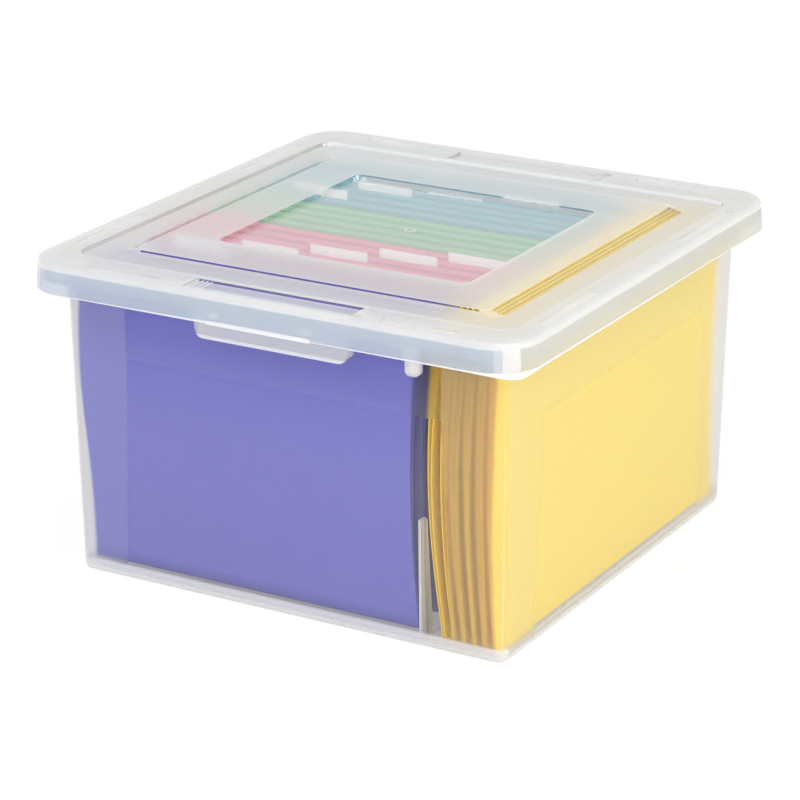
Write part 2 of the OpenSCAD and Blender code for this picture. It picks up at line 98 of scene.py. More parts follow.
@dataclass(frozen=True)
class NodeBench:
    """A material's node tree with short ways to add and join nodes."""

    material: Material

    @classmethod
    def open(cls, name: str) -> "NodeBench":
        """Make an empty node material.

        Args:
            name: The material's name.

        Returns:
            The bench that fills its tree.
        """
        material = bpy.data.materials.new(name)
        material.use_nodes = True
        material.node_tree.nodes.clear()
        return cls(material)

    def add(self, kind: str, **values: object) -> bpy.types.Node:
        """Add a node and set its properties or, where the name is an input's, its value.

        Args:
            kind: The node's type.
            values: Property or input values, an input's name written with underscores.

        Returns:
            The new node.
        """
        node = self.material.node_tree.nodes.new(kind)
        for name, value in values.items():
            if hasattr(node, name):
                setattr(node, name, value)
            else:
                node.inputs[name.replace("_", " ")].default_value = value
        return node

    def join(self, output: Socket, target: Socket) -> None:
        """Link one socket to another.

        Args:
            output: The socket that gives the value.
            target: The socket that takes it.
        """
        self.material.node_tree.links.new(output, target)

    def math(self, operation: str, first: object, second: object) -> Socket:
        """Combine two values, each a number or a socket.

        Args:
            operation: The Math node's operation.
            first: The first number or socket.
            second: The second number or socket.

        Returns:
            The result's socket.
        """
        node = self.add("ShaderNodeMath", operation=operation)
        for slot, value in zip(node.inputs, (first, second)):
            if isinstance(value, Socket):
                self.join(value, slot)
            else:
                slot.default_value = value
        return node.outputs[0]

    def noise(self, scale: float, detail: float, stretch: Colour = (1, 1, 1)) -> Socket:
        """Add a noise pattern fixed to the object.

        Args:
            scale: Cells per metre.
            detail: Layers of finer noise.
            stretch: Scale along each axis.

        Returns:
            The noise's factor socket.
        """
        place = self.add("ShaderNodeTexCoord")
        turn = self.add("ShaderNodeMapping", Scale=stretch)
        noise = self.add("ShaderNodeTexNoise", Scale=scale, Detail=detail)
        self.join(place.outputs["Object"], turn.inputs["Vector"])
        self.join(turn.outputs["Vector"], noise.inputs["Vector"])
        return noise.outputs["Fac"]

    def spot(self) -> tuple[Socket, Socket, Socket]:
        """Tell where on its object a shaded point lies.

        Returns:
            Its distance from the middle in X and in Y, and its height, in metres.
        """
        place = self.add("ShaderNodeTexCoord")
        split = self.add("ShaderNodeSeparateXYZ")
        self.join(place.outputs["Object"], split.inputs[0])
        far_x, far_y = (self.math("ABSOLUTE", split.outputs[axis], 0.0) for axis in "XY")
        return far_x, far_y, split.outputs["Z"]

    def mix(self, share: Socket | float, first: Socket, second: Socket) -> Socket:
        """Blend two shaders.

        Args:
            share: The second shader's share.
            first: The first shader.
            second: The second shader.

        Returns:
            The blend's socket.
        """
        blend = self.add("ShaderNodeMixShader")
        if isinstance(share, Socket):
            self.join(share, blend.inputs[0])
        else:
            blend.inputs[0].default_value = share
        self.join(first, blend.inputs[1])
        self.join(second, blend.inputs[2])
        return blend.outputs[0]

    def close(self, shader: Socket) -> Material:
        """Send a shader to the output.

        Args:
            shader: The finished shader.

        Returns:
            The bench's material.
        """
        output = self.add("ShaderNodeOutputMaterial")
        self.join(shader, output.inputs["Surface"])
        return self.material


@dataclass(frozen=True)
class PanelPlace:
    """Where the smooth panels lie in the tub's walls, and how the haze round them changes: thinned
    near the top of the front and back walls as painted shade, thickened at their foot as painted
    light.
    """

    half_foot: float = 0.1465
    taper: float = 0.04
    low: float = 0.0105
    high: float = 0.1872
    wall_at: float = 0.187
    # Painted shade: between these heights the haze thins on the front and back walls, darkening
    # them as if shaded by the lid
    painted_shade_half: float = 0.139
    painted_shade_low: float = 0.13
    painted_shade_high: float = 0.23
    # Painted light: below this height extra haze whitens the shade beneath the folders
    painted_lift_top: float = 0.012
    painted_lift_haze: float = 0.60


PANEL = PanelPlace()


@dataclass(frozen=True)
class Frost:
    """How far a matt surface scatters what is seen through it."""

    bend: float
    roughness: float


@dataclass(frozen=True)
class ClearPlastic:
    """Thin moulded plastic that shows what lies behind it through a milky haze."""

    name: str
    haze: float
    edge_haze: float = 0.15
    roughness: float = 0.2
    milk: Colour = (0.80, 0.80, 0.82)
    gloss: float = 0.6
    index: float = 1.45
    frost: Frost | None = None
    grain: float = 0.12
    panel_haze: float | None = None
    tint: Colour = (0.962, 0.960, 0.956)
    shade: Colour = (0.90, 0.90, 0.91)
    through: float = 0.5
    slant_power: float = 2.5
    grain_scale: float = 45

    @staticmethod
    def panel_share(bench: NodeBench) -> Socket:
        """Mark the smooth panels in the tub's walls, which are narrower at the top.

        Args:
            bench: The material's bench.

        Returns:
            A value of 1 on a panel and 0 round it.
        """
        x, y, z = bench.spot()
        limit = bench.math("SUBTRACT", PANEL.half_foot, bench.math("MULTIPLY", z, PANEL.taper))
        on_side = bench.math("GREATER_THAN", x, PANEL.wall_at)
        on_front = bench.math("GREATER_THAN", y, PANEL.wall_at)
        side = bench.math("MULTIPLY", on_side, bench.math("LESS_THAN", y, limit))
        front = bench.math("MULTIPLY", on_front, bench.math("LESS_THAN", x, limit))
        above = bench.math("GREATER_THAN", z, PANEL.low)
        tall = bench.math("MULTIPLY", above, bench.math("LESS_THAN", z, PANEL.high))
        return bench.math("MULTIPLY", bench.math("MAXIMUM", side, front), tall)

    @staticmethod
    def painted_light_by_height(bench: NodeBench, haze: Socket) -> Socket:
        """Clear the haze toward the top of the front and back walls, a painted shade as if cast by
        the lid, and thicken it at their foot, a painted light over the shade beneath the folders.

        Args:
            bench: The material's bench.
            haze: The haze of the wall's middle.

        Returns:
            The haze at every height.
        """
        x, y, z = bench.spot()
        # Painted shade: haze thinned toward the top darkens the walls as if shaded by the lid
        on_front = bench.math("GREATER_THAN", y, PANEL.wall_at)
        in_line = bench.math("LESS_THAN", x, PANEL.painted_shade_half)
        climb = bench.math("SUBTRACT", z, PANEL.painted_shade_low)
        rise = bench.math("DIVIDE", climb, PANEL.painted_shade_high - PANEL.painted_shade_low)
        fade = bench.math("MAXIMUM", bench.math("MINIMUM", rise, 1.0), 0.0)
        clear = bench.math("MULTIPLY", fade, bench.math("MULTIPLY", on_front, in_line))
        kept = bench.math("MULTIPLY", haze, bench.math("SUBTRACT", 1.0, clear))
        # Painted light: haze thickened at the foot whitens the shade beneath the folders
        low = bench.math("MULTIPLY", on_front, bench.math("LESS_THAN", z, PANEL.painted_lift_top))
        return bench.math("ADD", kept, bench.math("MULTIPLY", low, PANEL.painted_lift_haze))

    def view(self, bench: NodeBench, back: Socket, panel: Socket | None) -> Socket:
        """Make what is seen through the plastic, scattered where its surface is matt.

        Light that has already been scattered passes it as if it were clear.

        Args:
            bench: The material's bench.
            back: The mark of surfaces met from inside the plastic, which scatter nothing.
            panel: The mark of the smooth panels, if there are any.

        Returns:
            The shader's socket.
        """
        clear = bench.add("ShaderNodeBsdfTransparent", Color=(*self.tint, 1)).outputs[0]
        if self.frost is None:
            return clear
        frosted = bench.add("ShaderNodeBsdfRefraction", Color=(*self.tint, 1))
        frosted.inputs["Roughness"].default_value = self.frost.roughness
        frosted.inputs["IOR"].default_value = self.frost.bend
        spread = bench.add("ShaderNodeLightPath").outputs["Is Diffuse Ray"]
        plain = bench.math("MAXIMUM", back, spread)
        if panel is not None:
            plain = bench.math("MAXIMUM", plain, panel)
        return bench.mix(plain, frosted.outputs[0], clear)

    def share(self, bench: NodeBench, panel: Socket | None) -> Socket:
        """Work out how much haze lies over the view.

        Args:
            bench: The material's bench.
            panel: The mark of the smooth panels, if there are any.

        Returns:
            The share's socket.
        """
        facing = bench.add("ShaderNodeLayerWeight", Blend=0.5).outputs["Facing"]
        slant = bench.math("POWER", facing, self.slant_power)
        edge = bench.math("MULTIPLY", slant, self.edge_haze)
        noise = bench.noise(self.grain_scale, 3)
        speckle = bench.math("MULTIPLY", noise, self.grain * self.haze)
        total = bench.math("ADD", edge, self.haze * (1 - self.grain / 2))
        total = bench.math("ADD", total, speckle)
        if panel is None or self.panel_haze is None:
            return total
        change = bench.math("MULTIPLY", panel, self.panel_haze - self.haze)
        return self.painted_light_by_height(bench, bench.math("ADD", total, change))

    def make(self) -> Material:
        """Build the plastic's node material, which lets most light through to what it holds.

        Returns:
            The finished material.
        """
        bench = NodeBench.open(self.name)
        milk = bench.add("ShaderNodeBsdfDiffuse", Color=(*self.milk, 1))
        glow = bench.add("ShaderNodeBsdfTranslucent", Color=(*self.milk, 1))
        body = bench.mix(self.through, milk.outputs[0], glow.outputs[0])
        back = bench.add("ShaderNodeNewGeometry").outputs["Backfacing"]
        panel = self.panel_share(bench) if self.panel_haze is not None else None
        hazed = bench.mix(self.share(bench, panel), self.view(bench, back, panel), body)
        shine = bench.add("ShaderNodeBsdfGlossy", Color=(1, 1, 1, 1), Roughness=self.roughness)
        mirror = bench.add("ShaderNodeFresnel", IOR=self.index)
        outside = bench.math("MAXIMUM", bench.math("SUBTRACT", self.gloss, back), 0.0)
        glint = bench.math("MULTIPLY", mirror.outputs[0], outside)
        surface = bench.mix(glint, hazed, shine.outputs[0])
        shadow = bench.add("ShaderNodeBsdfTransparent", Color=(*self.shade, 1))
        path = bench.add("ShaderNodeLightPath")
        return bench.close(bench.mix(path.outputs["Is Shadow Ray"], surface, shadow.outputs[0]))


@dataclass(frozen=True)
class Card:
    """Matt coloured card, mottled and with a fine fibre, which lets a little light through."""

    name: str
    light: Colour
    deep: Colour
    through: Colour = (0.5, 0.5, 0.5)
    through_share: float = 0.0
    roughness: float = 0.78
    specular: float = 0.25
    cloud_scale: float = 9
    cloud_share: float = 0.7
    fibre_scale: float = 420
    fibre_depth: float = 0.0002

    def make(self) -> Material:
        """Build the card's node material.

        Returns:
            The finished material.
        """
        bench = NodeBench.open(self.name)
        mix = bench.add("ShaderNodeMix", data_type="RGBA")
        mix.inputs["A"].default_value = (*self.deep, 1)
        mix.inputs["B"].default_value = (*self.light, 1)
        cloud = bench.noise(self.cloud_scale, 4, (0.5, 0.5, 2.5))
        fibre = bench.noise(self.fibre_scale, 4, (0.35, 0.35, 2.2))
        broad = bench.math("MULTIPLY", cloud, self.cloud_share)
        fine = bench.math("MULTIPLY", fibre, 1 - self.cloud_share)
        bench.join(bench.math("ADD", broad, fine), mix.inputs[0])
        shader = bench.add("ShaderNodeBsdfPrincipled", Roughness=self.roughness)
        shader.inputs["Specular IOR Level"].default_value = self.specular
        bench.join(mix.outputs["Result"], shader.inputs["Base Color"])
        bump = bench.add("ShaderNodeBump", Strength=0.12, Distance=self.fibre_depth)
        bench.join(fibre, bump.inputs["Height"])
        bench.join(bump.outputs[0], shader.inputs["Normal"])
        if not self.through_share:
            return bench.close(shader.outputs[0])
        glow = bench.add("ShaderNodeBsdfTranslucent", Color=(*self.through, 1))
        return bench.close(bench.mix(self.through_share, shader.outputs[0], glow.outputs[0]))


@dataclass(frozen=True)
class Strip:
    """Coated steel strip, faintly brushed along its length."""

    name: str
    colour: Colour = (0.55, 0.56, 0.58)
    metallic: float = 0.6
    roughness: float = 0.28
    streak_scale: float = 600
    streak_depth: float = 0.25

    def make(self) -> Material:
        """Build the strip's node material.

        Returns:
            The finished material.
        """
        bench = NodeBench.open(self.name)
        shader = bench.add("ShaderNodeBsdfPrincipled", Metallic=self.metallic)
        shader.inputs["Base Color"].default_value = (*self.colour, 1)
        streak = bench.noise(self.streak_scale, 3, (0.04, 0.04, 1))
        depth = bench.math("MULTIPLY", streak, self.streak_depth)
        bench.join(bench.math("ADD", depth, self.roughness), shader.inputs["Roughness"])
        return bench.close(shader.outputs[0])


RIM_FROST = Frost(1.07, 0.9)
SKIRT_FROST = Frost(1.12, 0.6)
SKIRT_SHADE = (0.50, 0.50, 0.52)
THIN_SHADE = (0.95, 0.95, 0.95)
# Each finish: name, haze, more haze at a slant, roughness, milk, gloss, index and frost
CLEAR = {
    Zone.WINDOW: ClearPlastic(
        "window_clear", 0.12, 0.10, 0.03, (0.90, 0.90, 0.90), 1.0, 2.0,
        tint=(0.98, 0.98, 0.98), shade=(0.96, 0.96, 0.96),
    ),
    Zone.FROSTED: ClearPlastic(
        "frame_frosted", 0.62, 0.15, 0.35, (0.90, 0.90, 0.89), 0.8, 1.6,
        RIM_FROST, shade=(0.86, 0.86, 0.87),
    ),
    Zone.RAMP: ClearPlastic(
        "ramp_clear", 0.03, 0.06, 0.08, gloss=1.0, index=1.75, tint=(0.985, 0.965, 0.93)
    ),
    Zone.LINE: ClearPlastic(
        "chamfer_clear", 0.02, 0.02, 0.1, gloss=0.2, frost=Frost(2.4, 0.1), tint=(0.80, 0.80, 0.90)
    ),
    Zone.UNDER: ClearPlastic("underside_clear", 0.02, 0.02, gloss=0.0),
    Zone.RIM: ClearPlastic(
        "rim_hazed", 0.82, 0.12, 0.38, (0.80, 0.80, 0.79), 0.6, 1.5,
        RIM_FROST, shade=(0.52, 0.52, 0.53),
    ),
    # Bluish milk: a painted cast of light from the purple folders inside
    Zone.SKIRT: ClearPlastic(
        "skirt_hazed", 0.46, 0.20, 0.25, (0.62, 0.70, 0.80), 0.5, 1.45,
        SKIRT_FROST, shade=SKIRT_SHADE,
    ),
    # Warm milk: a painted cast of light from the yellow folders inside
    Zone.SIDE: ClearPlastic(
        "side_skirt_hazed", 0.50, 0.20, 0.25, (0.70, 0.70, 0.65), 0.5, 1.45,
        SKIRT_FROST, shade=SKIRT_SHADE,
    ),
    Zone.LIP: ClearPlastic("lip_white", 0.84, 0.10, 0.30, (0.91, 0.91, 0.91)),
    Zone.FIN: ClearPlastic(
        "fin_milky", 0.94, 0.05, 0.25, (1.0, 0.985, 0.97), through=0.3, shade=(0.97, 0.97, 0.97)
    ),
    Zone.POCKET: ClearPlastic("pocket_hazed", 0.50, 0.15, 0.20, (0.84, 0.85, 0.92), 0.6, 1.5),
    Zone.PAD: ClearPlastic("pad_hazed", 0.76, 0.12, 0.35, (0.87, 0.87, 0.87), 0.6, 1.5),
    Zone.WALL: ClearPlastic(
        "wall_clear", 0.10, 0.20, 0.15, frost=Frost(1.3, 0.9), panel_haze=0.06, shade=THIN_SHADE
    ),
    Zone.EDGE: ClearPlastic(
        "edge_milky", 0.52, 0.20, 0.25, (0.80, 0.80, 0.795), 0.4, shade=THIN_SHADE, through=0.4
    ),
}
CARDS = {
    "purple": Card("purple_card", (0.146, 0.144, 0.485), (0.126, 0.123, 0.450)),
    "pink": Card("pink_card", (0.80, 0.25, 0.38), (0.74, 0.21, 0.34), (0.95, 0.35, 0.50), 0.40),
    "green": Card("green_card", (0.22, 0.58, 0.32), (0.18, 0.52, 0.28), (0.35, 0.85, 0.50), 0.40),
    "blue": Card("blue_card", (0.10, 0.46, 0.56), (0.07, 0.41, 0.51), (0.25, 0.75, 0.88), 0.40),
    "yellow": Card("yellow_card", (1.0, 0.97, 0.13), (1.0, 0.93, 0.10), (1.0, 0.66, 0.16), 0.50),
}


def tidy_copy(node: str, name: str, sharp_deg: float = 28) -> Object:
    """Copy a frame piece with its doubles merged and its curves smoothed.

    Args:
        node: The frame piece's name.
        name: The copy's name.
        sharp_deg: Angle above which an edge stays sharp.

    Returns:
        The copy, at the origin.
    """
    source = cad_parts[node]
    mesh = source.data.copy()
    mesh.materials.clear()
    shape = bmesh.new()
    shape.from_mesh(mesh)
    bmesh.ops.remove_doubles(shape, verts=shape.verts, dist=MERGE_DISTANCE)
    shape.to_mesh(mesh)
    shape.free()
    copy = bpy.data.objects.new(name, mesh)
    bpy.context.scene.collection.objects.link(copy)
    mesh.shade_smooth()
    mesh.set_sharp_from_angle(angle=math.radians(sharp_deg))
    weigh = copy.modifiers.new("weigh", "WEIGHTED_NORMAL")
    weigh.keep_sharp = True
    return baked(copy)


def baked(item: Object) -> Object:
    """Turn an object's modifiers into plain mesh.

    Args:
        item: The object, left with no modifier.

    Returns:
        The same object.
    """
    bpy.context.view_layer.update()
    graph = bpy.context.evaluated_depsgraph_get()
    mesh = bpy.data.meshes.new_from_object(item.evaluated_get(graph), depsgraph=graph)
    item.modifiers.clear()
    item.data = mesh
    mesh.name = item.name
    return item


def zoned(item: Object, pick: Callable[[Vector, Vector, Vector], Zone]) -> None:
    """Give each face of a clear moulding its zone's finish.

    Args:
        item: The moulding.
        pick: Gives a face's zone from its lowest and highest corner, in mm, and its normal.
    """
    for zone in Zone:
        item.data.materials.append(PLASTICS[zone])
    order = list(Zone)
    for face in item.data.polygons:
        corners = [item.data.vertices[index].co / MM for index in face.vertices]
        low = Vector(min(corner[k] for corner in corners) for k in range(3))
        high = Vector(max(corner[k] for corner in corners) for k in range(3))
        face.material_index = order.index(pick(low, high, face.normal))


PLASTICS = {zone: finish.make() for zone, finish in CLEAR.items()}


@dataclass
class Lid:
    """The snap-on lid, whose window, frame, ramps, terrace, rim and skirt differ in finish."""

    window_mm: Point = (111.9, 109.9)
    window_drop_mm: float = 4.0
    gate_mm: float = 5.0
    gate_rise_mm: float = 0.1
    chamfer_mm: float = 1.7
    ramp_foot_mm: Point = (167.5, 161.2)
    corner_slant: float = 0.3
    riser_mm: Point = (217.5, 190.0)
    pocket_half_mm: float = 73.1
    pocket_y_mm: Point = (193.2, 217.6)
    pocket_floor_mm: float = 2.0
    pad_mm: Point = (0.5, 1.0)
    skirt_inset_mm: float = 8
    rim_drop_mm: float = 1.0
    bead_mm: float = 3.0
    edge_mm: float = 2.0
    bar_mm: Point = (46, 3)
    snap_mm: Point = (11, 9)
    snap_inset_mm: float = 2.3
    side_normal: float = 0.6
    under_normal: float = -0.1
    bead_normal: float = -0.3
    # Height of the plateau's top bevel, which takes the white finish as a painted highlight
    painted_highlight_mm: float = 0.3

    def __post_init__(self) -> None:
        """Read the lid's half size and levels from the frame."""
        low, high = (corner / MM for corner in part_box("lid"))
        self.half_mm: Point = (high.x, high.y)
        self.foot_mm: float = low.z
        self.top_mm: float = high.z
        self.rim_mm: float = high.z - self.rim_drop_mm

    @staticmethod
    def inside(spot: Vector, area: Point) -> bool:
        """Tell whether a spot lies inside a centred rectangle.

        Args:
            spot: The spot, in millimetres.
            area: The rectangle's half width and half depth.

        Returns:
            True inside it.
        """
        return abs(spot.x) < area[0] and abs(spot.y) < area[1]

    def top_zone(self, middle: Vector, normal: Vector) -> Zone:
        """Name the zone of a face of the window, plateau, terrace or rim.

        Args:
            middle: The face's middle, in millimetres.
            normal: Its outward normal.

        Returns:
            The zone.
        """
        slants = sorted((abs(normal.x), abs(normal.y)))
        crosswise = abs(normal.y) > abs(normal.x)
        if self.inside(middle, self.window_mm):
            return Zone.WINDOW
        if normal.z < self.under_normal:
            return Zone.UNDER
        if self.inside(middle, self.ramp_foot_mm):
            if normal.z > FLAT_NORMAL:
                return Zone.FROSTED
            # The thin top bevel takes the white finish, a painted highlight along the plateau's
            # edge
            if middle.z > self.top_mm - self.painted_highlight_mm:
                return Zone.LIP
            if slants[0] > self.corner_slant * slants[1]:
                return Zone.FROSTED
            if crosswise:
                return Zone.RIM if middle.z < self.top_mm - self.chamfer_mm else Zone.LINE
            return Zone.RAMP
        near, far = self.pocket_y_mm
        if abs(middle.x) < self.pocket_half_mm and near < abs(middle.y) < far:
            if middle.y > 0:
                return Zone.RIM
            if crosswise and abs(normal.z) < UPRIGHT_NORMAL:
                return Zone.RAMP
            return Zone.POCKET if middle.z < self.rim_mm - self.pocket_floor_mm else Zone.RIM
        if self.rim_mm - self.pad_mm[1] < middle.z:
            if LEVEL_NORMAL < normal.z and middle.z < self.rim_mm - self.pad_mm[0]:
                return Zone.PAD
            if normal.z < UPRIGHT_NORMAL:
                return Zone.LIP
        step = 0 < normal.z < LEVEL_NORMAL and middle.z < self.rim_mm
        if not step or not self.inside(middle, self.riser_mm):
            return Zone.RIM
        return Zone.LIP if crosswise else Zone.RAMP

    def is_gate(self, low: Vector, high: Vector) -> bool:
        """Tell whether a face belongs to the moulding gate's ring in the middle of the window.

        Args:
            low: The face's lowest corner, in millimetres.
            high: Its highest corner.

        Returns:
            True on the ring.
        """
        area = (self.gate_mm, self.gate_mm)
        raised = high.z > self.top_mm - self.window_drop_mm + self.gate_rise_mm
        return raised and self.inside(low, area) and self.inside(high, area)

    def zone(self, low: Vector, high: Vector, normal: Vector) -> Zone:
        """Name the zone of one face.

        Args:
            low: The face's lowest corner, in millimetres.
            high: Its highest corner.
            normal: Its outward normal.

        Returns:
            The zone.
        """
        middle = (low + high) / 2
        if self.is_gate(low, high):
            return Zone.LIP
        if self.inside(middle, tuple(half - self.skirt_inset_mm for half in self.half_mm)):
            return self.top_zone(middle, normal)
        if high.z > self.top_mm - self.bead_mm:
            return Zone.RIM if normal.z > self.bead_normal else Zone.UNDER
        edge = high.z < self.foot_mm + self.edge_mm
        bar = high.z < self.foot_mm + self.bar_mm[1] and abs(high.x) < self.bar_mm[0]
        inner = abs(middle.y) < self.half_mm[1] - self.snap_inset_mm
        short = high.x - low.x < self.snap_mm[0]
        snap = inner and short and high.z < self.foot_mm + self.snap_mm[1]
        if edge or bar or (snap and low.z > self.foot_mm + self.edge_mm):
            return Zone.LIP
        # Side faces take the painted warm cast, front and back faces the painted blue cast
        return Zone.SIDE if abs(normal.x) > self.side_normal else Zone.SKIRT

    def build(self) -> Object:
        """Make the lid's one piece.

        Returns:
            The dressed lid.
        """
        lid = tidy_copy("lid", "clear_lid")
        zoned(lid, self.zone)
        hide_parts("lid")
        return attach(lid, "lid")


@dataclass
class Tub:
    """The tub with its flange, grips, rails, sockets and fins, told apart by their places."""

    outer_mm: Point = (194.9, 201.2)
    inner_mm: Point = (187.6, 190.5)
    rail_low_mm: float = 238
    foot_mm: float = 5
    fin_top_mm: float = 105
    fin_x_mm: Point = (117.5, 120.5)
    grip_back_mm: float = 202
    grip_top_mm: float = 250
    grip_roll_mm: float = 224.4
    boss_x_mm: Point = (111.8, 124.6)
    boss_y_mm: float = 199.7
    boss_top_mm: float = 240
    wall_slant: float = 0.3

    def zone(self, low: Vector, high: Vector, normal: Vector) -> Zone:
        """Name the zone of one face.

        Args:
            low: The face's lowest corner, in millimetres.
            high: Its highest corner.
            normal: Its outward normal.

        Returns:
            The zone.
        """
        if self.is_fin(low, high):
            return Zone.FIN
        if self.is_solid(low, high):
            return Zone.LIP
        # The grips take the skirt's finish with its painted blue cast
        if min(abs(low.y), abs(high.y)) > self.grip_back_mm and high.z < self.grip_top_mm:
            return Zone.SKIRT
        near = Vector(
            min(abs(low[k]), abs(high[k])) if low[k] * high[k] > 0 else 0.0 for k in range(2)
        )
        far = Vector(max(abs(low[k]), abs(high[k])) for k in range(2))
        on_wall = near.x > self.inner_mm[0] or near.y > self.inner_mm[1]
        within = far.x < self.outer_mm[0] and far.y < self.outer_mm[1]
        tall = high.z > self.foot_mm and low.z < self.rail_low_mm
        upright = abs(normal.z) < self.wall_slant
        return Zone.WALL if upright and on_wall and within and tall else Zone.EDGE

    def is_fin(self, low: Vector, high: Vector) -> bool:
        """Tell whether a face belongs to a fin that keeps the legal folders apart.

        Args:
            low: The face's lowest corner, in millimetres.
            high: Its highest corner.

        Returns:
            True on a fin.
        """
        across = self.fin_x_mm[0] < low.x and high.x < self.fin_x_mm[1]
        return across and high.z < self.fin_top_mm

    def is_solid(self, low: Vector, high: Vector) -> bool:
        """Tell whether a face belongs to a grip's rolled edge or a socket, which look white.

        Args:
            low: The face's lowest corner, in millimetres.
            high: Its highest corner.

        Returns:
            True on such a face.
        """
        deep = min(abs(low.y), abs(high.y))
        roll = deep > self.grip_back_mm and high.z < self.grip_roll_mm
        across = self.boss_x_mm[0] < low.x and high.x < self.boss_x_mm[1]
        boss = across and deep > self.boss_y_mm and low.z < self.boss_top_mm
        return roll or boss

    def build(self) -> Object:
        """Make the tub's one piece.

        Returns:
            The dressed tub.
        """
        tub = tidy_copy("tub", "clear_tub")
        zoned(tub, self.zone)
        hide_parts("tub")
        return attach(tub, "box")


@dataclass
class CrossRail:
    """The removable rail between the letter and legal rows."""

    def build(self) -> Object:
        """Make the rail's one piece.

        Returns:
            The dressed rail.
        """
        rail = tidy_copy("cross_rail", "clear_cross_rail")
        rail.data.materials.append(PLASTICS[Zone.EDGE])
        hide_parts("cross_rail")
        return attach(rail, "box")


def islands(node: str) -> list[tuple[Vector, Vector]]:
    """Find the boxes of a frame piece's separate solids.

    Args:
        node: The frame piece's name.

    Returns:
        Each solid's lowest and highest corner, from left to right.
    """
    shape = bmesh.new()
    shape.from_mesh(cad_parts[node].data)
    bmesh.ops.remove_doubles(shape, verts=shape.verts, dist=MERGE_DISTANCE)
    waiting = set(shape.verts)
    boxes: list[tuple[Vector, Vector]] = []
    while waiting:
        front = [waiting.pop()]
        found = []
        while front:
            vert = front.pop()
            found.append(vert.co.copy())
            for edge in vert.link_edges:
                other = edge.other_vert(vert)
                if other in waiting:
                    waiting.remove(other)
                    front.append(other)
        low = Vector(min(co[k] for co in found) for k in range(3))
        high = Vector(max(co[k] for co in found) for k in range(3))
        boxes.append((low, high))
    shape.free()
    return sorted(boxes, key=lambda box: tuple(box[0]))


def plain_mesh(name: str, points: list[Vector | Place], faces: list[tuple[int, ...]]) -> Object:
    """Make an object from points and faces.

    Args:
        name: The object's name.
        points: Its points, in metres.
        faces: Its faces.

    Returns:
        The object.
    """
    mesh = bpy.data.meshes.new(name)
    mesh.from_pydata(points, [], faces)
    mesh.update()
    item = bpy.data.objects.new(name, mesh)
    bpy.context.scene.collection.objects.link(item)
    return item


def slab(name: str, outline: list[Point], thickness: float, bevel: float) -> Object:
    """Make an upright slab with softened edges from its outline in length and height.

    Args:
        name: The slab's name.
        outline: Its corners, anticlockwise as seen from the front.
        thickness: Its thickness.
        bevel: The width of its softened edges.

    Returns:
        The slab.
    """
    count = len(outline)
    points = [Vector((x, side * thickness / 2, z)) for side in (-1, 1) for x, z in outline]
    front = tuple(range(count))
    back = tuple(range(2 * count - 1, count - 1, -1))
    rim = [(i + count, (i + 1) % count + count, (i + 1) % count, i) for i in range(count)]
    item = plain_mesh(name, points, [front, back, *rim])
    soften = item.modifiers.new("soften", "BEVEL")
    soften.width = bevel
    soften.segments = 2
    soften.limit_method = "ANGLE"
    return baked(item)


def rounded(width: float, low: float, high: float, radius: float, steps: int = 5) -> list[Point]:
    """Give the outline of a plate with two round corners at the top.

    Args:
        width: Its width.
        low: Its lower edge.
        high: Its upper edge.
        radius: The radius of its upper corners.
        steps: Points round each corner.

    Returns:
        The corners, anticlockwise.
    """
    half = width / 2
    outline = [(-half, low), (half, low)]
    for start, side in ((0, 1), (math.pi / 2, -1)):
        for step in range(steps + 1):
            turn = start + math.pi / 2 * step / steps
            across = side * (half - radius) + radius * math.cos(turn)
            outline.append((across, high - radius + radius * math.sin(turn)))
    return outline


@dataclass
class Repeater:
    """A node tree that sets one piece at each point of a mesh."""

    name: str

    def tree(self) -> bpy.types.NodeTree:
        """Build the tree, with inputs for the piece and its finish.

        Returns:
            The tree.
        """
        tree = bpy.data.node_groups.new(self.name, "GeometryNodeTree")
        for name, kind in (
            ("Places", "Geometry"), ("Piece", "Object"), ("Turn", "Vector"), ("Finish", "Material")
        ):
            tree.interface.new_socket(name=name, in_out="INPUT", socket_type=f"NodeSocket{kind}")
        tree.interface.new_socket(name="Pieces", in_out="OUTPUT", socket_type="NodeSocketGeometry")
        start = tree.nodes.new("NodeGroupInput")
        info = tree.nodes.new("GeometryNodeObjectInfo")
        put = tree.nodes.new("GeometryNodeInstanceOnPoints")
        real = tree.nodes.new("GeometryNodeRealizeInstances")
        dress = tree.nodes.new("GeometryNodeSetMaterial")
        end = tree.nodes.new("NodeGroupOutput")
        for giver, output, taker, target in (
            (start, "Places", put, "Points"),
            (start, "Piece", info, "Object"),
            (info, "Geometry", put, "Instance"),
            (start, "Turn", put, "Rotation"),
            (put, "Instances", real, "Geometry"),
            (real, "Geometry", dress, "Geometry"),
            (start, "Finish", dress, "Material"),
            (dress, "Geometry", end, "Pieces"),
        ):
            tree.links.new(giver.outputs[output], taker.inputs[target])
        return tree

    def lay(
        self,
        name: str,
        piece: Object,
        places: list[Vector],
        turn_z: float,
        finish: Material,
    ) -> Object:
        """Set copies of a piece at places and turn the result into one plain mesh.

        Args:
            name: The result's name.
            piece: The piece to repeat, removed afterwards.
            places: Where the copies go.
            turn_z: How far each is turned about the upright axis.
            finish: Its material.

        Returns:
            The mesh object.
        """
        item = plain_mesh(name, places, [])
        lay = item.modifiers.new("lay", "NODES")
        lay.node_group = self.tree()
        names = {socket.name: socket.identifier for socket in lay.node_group.interface.items_tree}
        lay[names["Piece"]] = piece
        lay[names["Turn"]] = (0.0, 0.0, turn_z)
        lay[names["Finish"]] = finish
        done = baked(item)
        bpy.data.objects.remove(piece)
        return done


